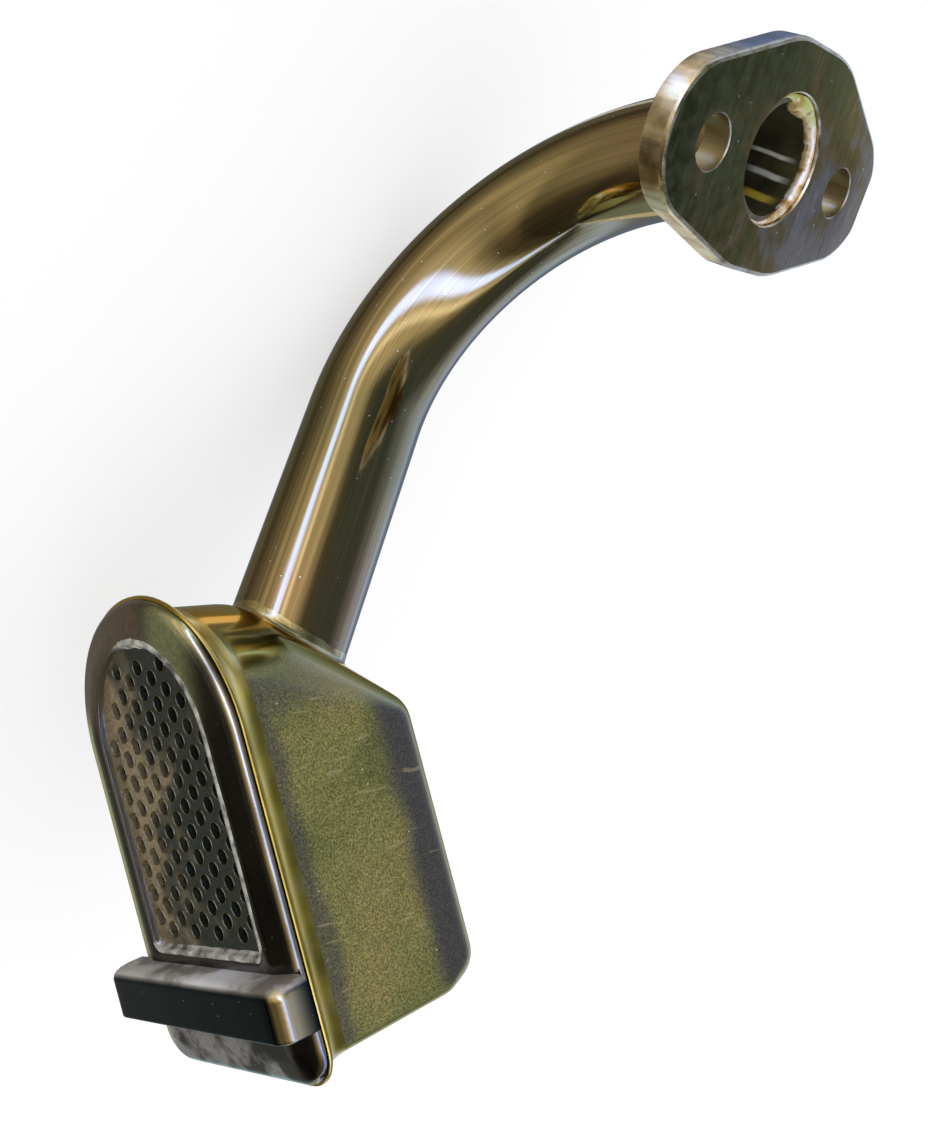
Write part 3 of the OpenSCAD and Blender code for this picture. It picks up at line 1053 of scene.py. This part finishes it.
# %% [markdown]
# ## The flange
#
# The flange is a thick plate with two bolt holes and the slanted bore. Its face was ground, so it is dull
# with fine slanting lines, and it is painted darker towards one corner and lighter towards the other as
# painted light. Its rim is rough from the press, with a painted pale blue sky reflection along its upper
# side and painted shade in the bolt holes. The front edge carries a small chamfer that handling has
# polished, and it is painted pale cream as a painted highlight too. Each of these gets a finish of its own
# on the faces that belong to it.

# %% Finishes of the flange
film = Finish("ground_face")
film.give("Specular Tint", (0.9, 0.75, 0.45))
cloud = film.clouds(95.0, 4.0)
# Painted light: the face is darker towards one corner and lighter towards the opposite one
tone = film.plus(film.along((0.7, -0.7, 0), -22, 26), film.spread(cloud, -0.5, 0.5))
grey = film.ramp(tone, (0.2, 0.15, 0.15, 0.07), (0.55, 0.24, 0.175, 0.075), (0.9, 0.315, 0.272, 0.24))
ground = film.streaks((1000, 150, 300), 4.0, (0, 0, 0.75))
mottle = film.clouds(420.0, 5.0)
grey = film.toned(0.45, grey, film.spread(mottle, 0.5, 1.5))
grey = film.toned(0.4, grey, film.spread(ground, 0.5, 1.5))
dust = film.specks(480.0, 0.12, 0.3)
film.give("Base Color", film.mixed(dust, grey, (0.7, 0.7, 0.6)))
film.give("Roughness", film.spread(mottle, 0.26, 0.46))
film.relief(ground, 0.12)
GROUND_FACE = film.material

film = Finish("pressed_rim", 0.2)
cloud = film.clouds(120.0, 4.0)
rim = film.ramp(cloud, (0.34, 0.26, 0.16, 0.07), (0.5, 0.68, 0.52, 0.27), (0.66, 1.0, 0.84, 0.5))
press_lines = film.streaks((420, 420, 45), 3.0)
rim = film.toned(0.8, rim, film.spread(press_lines, 0.4, 1.5))
# Painted reflection: pale blue sky on the upper side of the rim
rim = film.mixed(film.painted("bare"), rim, (0.3, 0.36, 0.45))
# Painted shade: darker walls in the bolt holes
film.give("Base Color", film.mixed(film.painted("in_hole"), rim, (0.42, 0.34, 0.16)))
film.give("Roughness", film.spread(press_lines, 0.28, 0.5))
film.relief(press_lines, 0.35, 0.0003)
PRESSED_RIM = film.material

# Polished chamfer, painted pale cream as a painted highlight too
film = Finish("bright_edge", 0.3)
cloud = film.clouds(380.0, 4.0)
shine = film.ramp(cloud, (0.3, 0.55, 0.42, 0.2), (0.5, 0.9, 0.74, 0.42), (0.7, 1.0, 0.88, 0.58))
film.give("Base Color", shine)
film.give("Roughness", film.spread(cloud, 0.2, 0.4))
film.relief(cloud, 0.3)
BRIGHT_EDGE = film.material

# %% Outline of the flange
OUTLINE_ARC_STEPS = 26
OUTLINE_POINTS = 240


def evenly(dots, count):
    lengths = [0.0]
    for a, b in zip(dots, dots[1:] + dots[:1]):
        lengths.append(lengths[-1] + (b - a).length)
    out = []
    k = 0
    for i in range(count):
        want = lengths[-1] * i / count
        while lengths[k + 1] < want:
            k += 1
        share = (want - lengths[k]) / max(1e-9, lengths[k + 1] - lengths[k])
        out.append(dots[k].lerp(dots[(k + 1) % len(dots)], share))
    return out


def flange_outline():
    steps = OUTLINE_ARC_STEPS
    mid_left = Vector((-FLANGE_MID_BACK, BORE_OFFSET))
    mid_right = Vector((FLANGE_MID_LEN, BORE_OFFSET))
    to_right = Vector((BOLT_X, 0)) - mid_right
    to_left = Vector((-BOLT_X, 0)) - mid_left
    right_dir = math.degrees(math.atan2(to_right.y, to_right.x))
    left_dir = 360 + math.degrees(math.atan2(to_left.y, to_left.x))
    right_open = math.degrees(math.acos((FLANGE_MID_R - FLANGE_END_R) / to_right.length))
    left_open = math.degrees(math.acos((FLANGE_MID_R - FLANGE_END_R) / to_left.length))
    dots = (
        arc(BOLT_X, 0, FLANGE_END_R, right_dir - right_open, right_dir + right_open, steps)
        + arc(mid_right.x, BORE_OFFSET, FLANGE_MID_R, right_dir + right_open, 90, steps)
        + arc(mid_left.x, BORE_OFFSET, FLANGE_MID_R, 90, left_dir - left_open, steps)
        + arc(-BOLT_X, 0, FLANGE_END_R, left_dir - left_open, left_dir + left_open, steps)
        + arc(mid_left.x, BORE_OFFSET, FLANGE_MID_R, left_dir + left_open, 270, steps)
        + arc(mid_right.x, BORE_OFFSET, FLANGE_MID_R, 270, 360 + right_dir - right_open, steps)
    )
    return evenly([Vector((min(x, FLANGE_TRIM), y)) for x, y in dots], OUTLINE_POINTS)


outline = flange_outline()


def edge_ring(inset, z):
    out = []
    for k, p in enumerate(outline):
        line = outline[(k + 2) % len(outline)] - outline[k - 2]
        side = Vector((-line.y, line.x)).normalized()
        out.append(Vector((p.x + side.x * inset, p.y + side.y * inset, z)))
    return out


print("flange outline of", len(outline), "points")

# %% Walls of the flange plate
CHAMFER = 0.75
BACK_BREAK = 0.5
HOLE_BREAK = 0.2
BORE_BREAK = 0.3
HOLE_SIDES = 48
FACE, RIM, EDGE = range(3)
plate = bmesh.new()


def plate_wall(rings, finishes):
    made = []
    for ring in rings:
        made.append([plate.verts.new(Vector(p) * MM) for p in ring])
    for a, b, index in zip(made, made[1:], finishes):
        for k in range(len(a)):
            m = (k + 1) % len(a)
            plate.faces.new((a[k], a[m], b[m], b[k])).material_index = index
    ends = []
    for ring in (made[0], made[-1]):
        ends.append([plate.edges.get((ring[k], ring[(k + 1) % len(ring)])) for k in range(len(ring))])
    return ends


def hole_ring(x, r, z):
    return [Vector((x + p, q, z)) for p, q in arc(0, 0, r, 0, 360, HOLE_SIDES)]


def bore_ring(z, extra):
    return slid_to(tube_ring(AT_OUTLET, TUBE_R + extra), z)


outer = [edge_ring(CHAMFER, 0), edge_ring(CHAMFER * 0.3, -CHAMFER * 0.3), edge_ring(0, -CHAMFER)]
outer += [edge_ring(0, BACK_BREAK - FLANGE_T), edge_ring(BACK_BREAK, -FLANGE_T)]
walls = [(outer, [EDGE, EDGE, RIM, RIM])]
for x in (-BOLT_X, BOLT_X):
    rings = [hole_ring(x, BOLT_HOLE_R + HOLE_BREAK, 0)]
    rings += [hole_ring(x, BOLT_HOLE_R, z) for z in (-HOLE_BREAK, -FLANGE_T)]
    walls.append((rings, [RIM, RIM]))
bore = [bore_ring(0, BORE_BREAK), bore_ring(-BORE_BREAK, TUBE_PLAY), bore_ring(-FLANGE_T, TUBE_PLAY)]
walls.append((bore, [EDGE, RIM]))
tops = []
bottoms = []
for rings, finishes in walls:
    top, bottom = plate_wall(rings, finishes)
    tops += top
    bottoms += bottom
print("flange plate with", len(walls), "walls")

# %% Faces of the flange plate, and its masks
for rim_edges, up, index in ((tops, 1, FACE), (bottoms, -1, RIM)):
    filled = bmesh.ops.triangle_fill(plate, use_beauty=True, edges=rim_edges, normal=(0, 0, up))
    for item in filled["geom"]:
        if isinstance(item, bmesh.types.BMFace):
            item.material_index = index
flange_mesh = bpy.data.meshes.new("flange")
plate.to_mesh(flange_mesh)
plate.free()
outward(flange_mesh)


# Upper side of the rim, where the sky reflection is painted
def upper_rim_rule(p, normal):
    return ease(0.6, 0.9, normal.y) * ease(12, 16, p.y)


# Walls of the bolt holes, where the shade is painted
def in_hole_rule(p, normal):
    return 1.0 if math.hypot(abs(p.x) - BOLT_X, p.y) < BOLT_HOLE_R + 0.1 else 0.0


paint(flange_mesh, Matrix.Identity(4), bare=upper_rim_rule, in_hole=in_hole_rule)
flange_finishes = [GROUND_FACE, PRESSED_RIM, BRIGHT_EDGE]
dress("flange_plate", flange_mesh, flange_finishes, "flange", 25)

# %% [markdown]
# ## Welds
#
# The mouth of the tube is welded inside the flange's bore, and its foot is brazed to the box. Both beads
# are uneven, so their rings get their size from a smooth noise along the joint. The welder started at the
# top of the bore, where a lump stayed, and ran round one side. The other side has hardly any metal.

# %% Finishes of the weld and the braze
film = Finish("weld_cream", 0.3, 0.35)
cloud = film.clouds(480.0, 4.0)
lump = film.times(film.along((0.2, 1, 0), 9.2, 11.4), film.fitted(cloud, 0.35, 0.6, 0.45, 1))
cream = film.ramp(cloud, (0.34, 0.42, 0.24, 0.08), (0.5, 0.88, 0.64, 0.34), (0.62, 1.0, 0.95, 0.84))
film.give("Base Color", film.mixed(lump, cream, (0.55, 0.62, 0.14)))
film.give("Roughness", film.spread(cloud, 0.15, 0.4))
film.relief(cloud, 0.5, 0.0004)
WELD_CREAM = film.material

film = Finish("braze_gold", 0.3)
cloud = film.clouds(300.0, 4.0)
brass = film.ramp(cloud, (0.32, 0.3, 0.22, 0.07), (0.5, 0.55, 0.43, 0.16), (0.68, 0.78, 0.64, 0.3))
film.give("Base Color", brass)
film.give("Roughness", film.spread(cloud, 0.14, 0.3))
film.relief(cloud, 0.35, 0.0004)
BRAZE_GOLD = film.material

# %% Weld in the bore
BEAD_SIDES = 180
BEAD_SECTION = [(-0.05, 0.35), (0.15, 0.85), (0.6, 1.1), (1.15, 0.95), (1.6, 0.45)]
BEAD_SECTION += [(1.85, -0.1), (1.9, -0.6), (1.8, -1.1), (1.5, -1.3), (1.2, -0.4)]
BEAD_TOP = TUBE_RECESS - 0.1
mouth = slid_to(tube_ring(AT_OUTLET, TUBE_R, BEAD_SIDES), -TUBE_RECESS)
middle = sum(mouth, Vector()) / len(mouth)


def bead_size(p):
    way = math.degrees(math.atan2(p.y - middle.y, p.x - middle.x))
    run_side = ease(-85, -45, way) * ease(118, 88, way)
    start_lump = ease(56, 74, way) * ease(104, 88, way)
    lumps = 0.35 * noise.noise(p * 0.4) + 0.3 * noise.noise(p * 1.2)
    return 0.32 + run_side * (0.55 + lumps * 0.3) + 0.6 * start_lump


weld_rings = []
for reach, rise in BEAD_SECTION:
    ring = []
    for p in mouth:
        size = bead_size(p)
        inwards = (middle - p).normalized()
        ring.append(p + inwards * size * reach + TUBE_UP * min(size * rise, BEAD_TOP))
    weld_rings.append(ring)
dress("mouth_weld", mesh_of("weld", *skin(weld_rings)), [WELD_CREAM], "flange_weld", 80)

# %% Braze at the foot of the tube
FILLET_STEPS = 8
FILLET_SINK = 0.08
FILLET_GAP = 0.02
ABOVE_BOX = 25
INTO_HOLE = 4.5
INTO_BOX = 1.2
down = AT_INLET.to_3x3() @ Vector((0, 0, -1))


def on_box(angle, radius):
    above = AT_INLET @ spoke(radius, angle, ABOVE_BOX)
    return box_outside.ray_cast(above * MM, down)[0] / MM


fillet_rings = []
for i in range(FILLET_STEPS + 1):
    s = i / FILLET_STEPS
    ring = []
    for k in range(TUBE_SIDES):
        a = 2 * math.pi * k / TUBE_SIDES
        spot = AT_INLET @ spoke(TUBE_R, a)
        size = 2.0 + 0.5 * noise.noise(spot * 0.2) + 0.25 * noise.noise(spot * 0.8)
        reach = size * (1 - math.sqrt(max(0.0, 1 - (1 - s) ** 2)))
        rise = size * (1 - math.sqrt(max(0.0, 1 - s ** 2)))
        ring.append(on_box(a, TUBE_R + FILLET_GAP + reach) - down * (rise - FILLET_SINK))
    fillet_rings.append(ring)
for ring, depth in ((fillet_rings[-1], INTO_HOLE), (fillet_rings[0], INTO_BOX)):
    fillet_rings.append([p + down * depth for p in ring])
dress("foot_braze", mesh_of("braze", *skin(fillet_rings)), [BRAZE_GOLD], "tube_braze", 80)

# %% [markdown]
# ## Studio
#
# The part lies on a plain pale floor under a soft even sky. The camera stands where the photographer
# stood: its place and its three axes were found by lining up the bolt holes, the screen and the tube.

# %% Camera
CAMERA_AT = Vector((-213.907, -11.197, 119.407)) * MM
RIGHT = Vector((0.634199, 0.296423, 0.71409))
BELOW = Vector((-0.034753, -0.911725, 0.409327))
AHEAD = Vector((0.772388, -0.284412, -0.567914))
camera_data = bpy.data.cameras.new("camera")
camera_data.lens = 43.368
camera_data.sensor_width = 36.0
camera_data.clip_start = 0.01
camera_data.clip_end = 20.0
camera = loose_object("camera", camera_data)
axes = Matrix((RIGHT, -BELOW, -AHEAD)).transposed().to_4x4()
camera.matrix_world = Matrix.Translation(CAMERA_AT) @ axes
bpy.context.scene.camera = camera
print("camera", round(CAMERA_AT.length, 2), "m from the flange, lens", round(camera_data.lens, 1), "mm")

# %% [markdown]
# The floor is white paper. It adds a little of its own light for the rays that the camera sends out, so
# that it reads as white and still keeps the soft shadow of the part. The metal mirrors the light screen of
# the next cells, so mirrored rays pass through the floor.

# %% White floor and white surroundings
FLOOR_DROP = 0.001
FLOOR_HALF = 4
PAPER_GLOW = 0.6
level = cad_low.z - FLOOR_DROP
corners = [(x * FLOOR_HALF, y * FLOOR_HALF, level) for x, y in ((-1, -1), (1, -1), (1, 1), (-1, 1))]
floor_mesh = bpy.data.meshes.new("floor")
floor_mesh.from_pydata(corners, [], [(0, 1, 2, 3)])
floor = loose_object("floor", floor_mesh)
floor.visible_glossy = False
paper = Finish("white_paper", metallic=0.0)
paper.give("Base Color", (0.42, 0.42, 0.42))
paper.give("Roughness", 0.9)
paper.give("Emission Color", (1, 1, 1))
rays = paper.add("LightPath", {}).outputs
seen = paper.most(paper.most(rays["Is Camera Ray"], rays["Is Glossy Ray"]), rays["Is Transmission Ray"])
paper.give("Emission Strength", paper.times(seen, PAPER_GLOW))
floor_mesh.materials.append(paper.material)

world = bpy.data.worlds.new("studio")
world.use_nodes = True
sky = world.node_tree.nodes["Background"]
sky.inputs["Color"].default_value = (1, 1, 1, 1)
sky.inputs["Strength"].default_value = 1.0
bpy.context.scene.world = world
print("floor at", round(level / MM, 1), "mm")

# %% [markdown]
# Polished metal is only as good as what it mirrors. A photographer hangs a large graded screen round the
# camera: a bright strip, softer light beside it and dark flags at both ends. Here that screen is a part of
# a sphere, measured in degrees to the right of the camera and above it, and only mirrored rays see it.

# %% Shape of the light screen
AIM = Vector((-40, -70, -25)) * MM
SCREEN_LONS = (-176, 176)
SCREEN_LATS = (-89, 78)
SCREEN_CELLS = (48, 32)
SCREEN_DISTANCE = 0.9
MAP_DEGREES = 100


def studio_direction(lon, lat):
    a, e = math.radians(lon), math.radians(lat)
    across = math.cos(e) * math.sin(a)
    to_eye = math.cos(e) * math.cos(a)
    return RIGHT * across - BELOW * math.sin(e) - AHEAD * to_eye


def light_screen(name, material):
    cols, rows = SCREEN_CELLS
    dots = []
    marks = []
    for j in range(rows + 1):
        for i in range(cols + 1):
            lon = SCREEN_LONS[0] + (SCREEN_LONS[1] - SCREEN_LONS[0]) * i / cols
            lat = SCREEN_LATS[0] + (SCREEN_LATS[1] - SCREEN_LATS[0]) * j / rows
            dots.append(AIM + studio_direction(lon, lat) * SCREEN_DISTANCE)
            marks.append((lon / MAP_DEGREES, lat / MAP_DEGREES))
    cells = []
    for j in range(rows):
        for i in range(cols):
            k = j * (cols + 1) + i
            cells.append((k, k + 1, k + cols + 2, k + cols + 1))
    mesh = bpy.data.meshes.new(name)
    mesh.from_pydata(dots, [], cells)
    uv = mesh.uv_layers.new(name="degrees")
    for loop in mesh.loops:
        uv.data[loop.index].uv = marks[loop.vertex_index]
    mesh.materials.append(material)
    mesh.shade_smooth()
    obj = loose_object(name, mesh)
    for rays in ("camera", "diffuse", "shadow", "transmission"):
        setattr(obj, "visible_" + rays, False)
    print(name, len(cells), "cells")


# %% [markdown]
# Three gradings are multiplied on the screen. The strip runs slantwise from left to right and holds the
# bright line of the tube. The sides hold the dark flags that give the tube its dark borders. The last one
# takes the light off towards the floor, less so far out to both sides. A ramp's colours are kept small
# by a fixed share, and the strength of the light makes up for it.

# %% Gradings of the light screen, in degrees
STRIP_LEAN = 0.83
STRIP_SPAN = (-150, 190)
STRIP = [
    (-140, 1.0, 1.0, 1.0),
    (-112, 0.9, 0.9, 0.9),
    (-86, 0.42, 0.41, 0.38),
    (-60, 0.36, 0.34, 0.29),
    (-41, 0.33, 0.31, 0.25),
    (-33, 0.6, 0.55, 0.44),
    (-29, 0.6, 0.55, 0.44),
    (-21, 0.46, 0.43, 0.35),
    (2, 0.85, 0.82, 0.72),
    (9, 2.0, 2.85, 7.4),
    (16, 2.0, 2.85, 7.4),
    (24, 0.95, 0.88, 0.74),
    (32, 1.7, 1.7, 1.7),
    (39, 0.8, 0.74, 0.6),
    (60, 0.8, 0.76, 0.66),
    (120, 0.9, 0.9, 0.9),
]
SIDES_LEAN = 0.5
SIDES_SPAN = (-200, 200)
SIDES = [
    (-176, 0.3, 0.4, 0.42),
    (-164, 0.2, 0.27, 0.28),
    (-153, 0.22, 0.22, 0.2),
    (-105, 0.22, 0.205, 0.17),
    (-84, 0.5, 0.48, 0.42),
    (-62, 1.0, 1.0, 1.0),
    (38, 1.0, 1.0, 1.0),
    (47, 0.5, 0.51, 0.5),
    (55, 0.15, 0.17, 0.17),
    (70, 0.1, 0.135, 0.17),
    (94, 0.1, 0.135, 0.17),
    (106, 0.24, 0.29, 0.42),
    (122, 0.55, 0.7, 1.15),
    (142, 0.75, 1.0, 1.9),
    (156, 0.32, 0.4, 0.65),
    (176, 0.2, 0.22, 0.25),
]
LOW_SPAN = (-90, 160)
LOW_RIGHT = 0.9
LOW_LEFT = 1.5
LOW_LEFT_FROM = -88
LOW = [
    (-60, 0.14, 0.14, 0.13),
    (-42, 0.17, 0.165, 0.15),
    (-28, 0.28, 0.27, 0.24),
    (-14, 0.62, 0.6, 0.56),
    (0, 0.95, 0.95, 0.94),
    (10, 1.0, 1.0, 1.0),
]
print("marks of the gradings:", len(STRIP), len(SIDES), len(LOW))

# %% Graded light
RAMP_SHARE = 4


def grading(light, degrees, span, marks):
    low, high = span
    value = light.fitted(degrees, low / MAP_DEGREES, high / MAP_DEGREES, 0, 1)
    shares = [((at - low) / (high - low), *[c / RAMP_SHARE for c in colour]) for at, *colour in marks]
    return light.ramp(value, *shares, kind="EASE")


def graded(name):
    mat = bpy.data.materials.new(name)
    mat.use_nodes = True
    mat.node_tree.nodes.clear()
    light = Nodes(mat.node_tree)
    place = light.add("SeparateXYZ", {"Vector": light.flat_map("degrees")}).outputs
    lon, lat = place["X"], place["Y"]
    strip = grading(light, light.plus(lon, light.times(lat, STRIP_LEAN)), STRIP_SPAN, STRIP)
    sides = grading(light, light.plus(lon, light.times(lat, SIDES_LEAN)), SIDES_SPAN, SIDES)
    to_right = light.times(light.most(lon, 0.0), LOW_RIGHT)
    past_left = light.most(light.sums("SUBTRACT", LOW_LEFT_FROM / MAP_DEGREES, lon), 0.0)
    to_side = light.plus(to_right, light.times(past_left, LOW_LEFT))
    low = grading(light, light.plus(lat, to_side), LOW_SPAN, LOW)
    lit = light.toned(1.0, light.toned(1.0, strip, sides), low)
    glow = light.add("Emission", {"Color": lit, "Strength": RAMP_SHARE ** 3})
    light.add("OutputMaterial", {"Surface": glow.outputs["Emission"]})
    return mat


light_screen("front_screen", graded("graded_screen_light"))

# %% [markdown]
# Last, the colours are shown with the Standard view transform.

bpy.context.scene.view_settings.view_transform = "Standard"
bpy.context.view_layer.update()
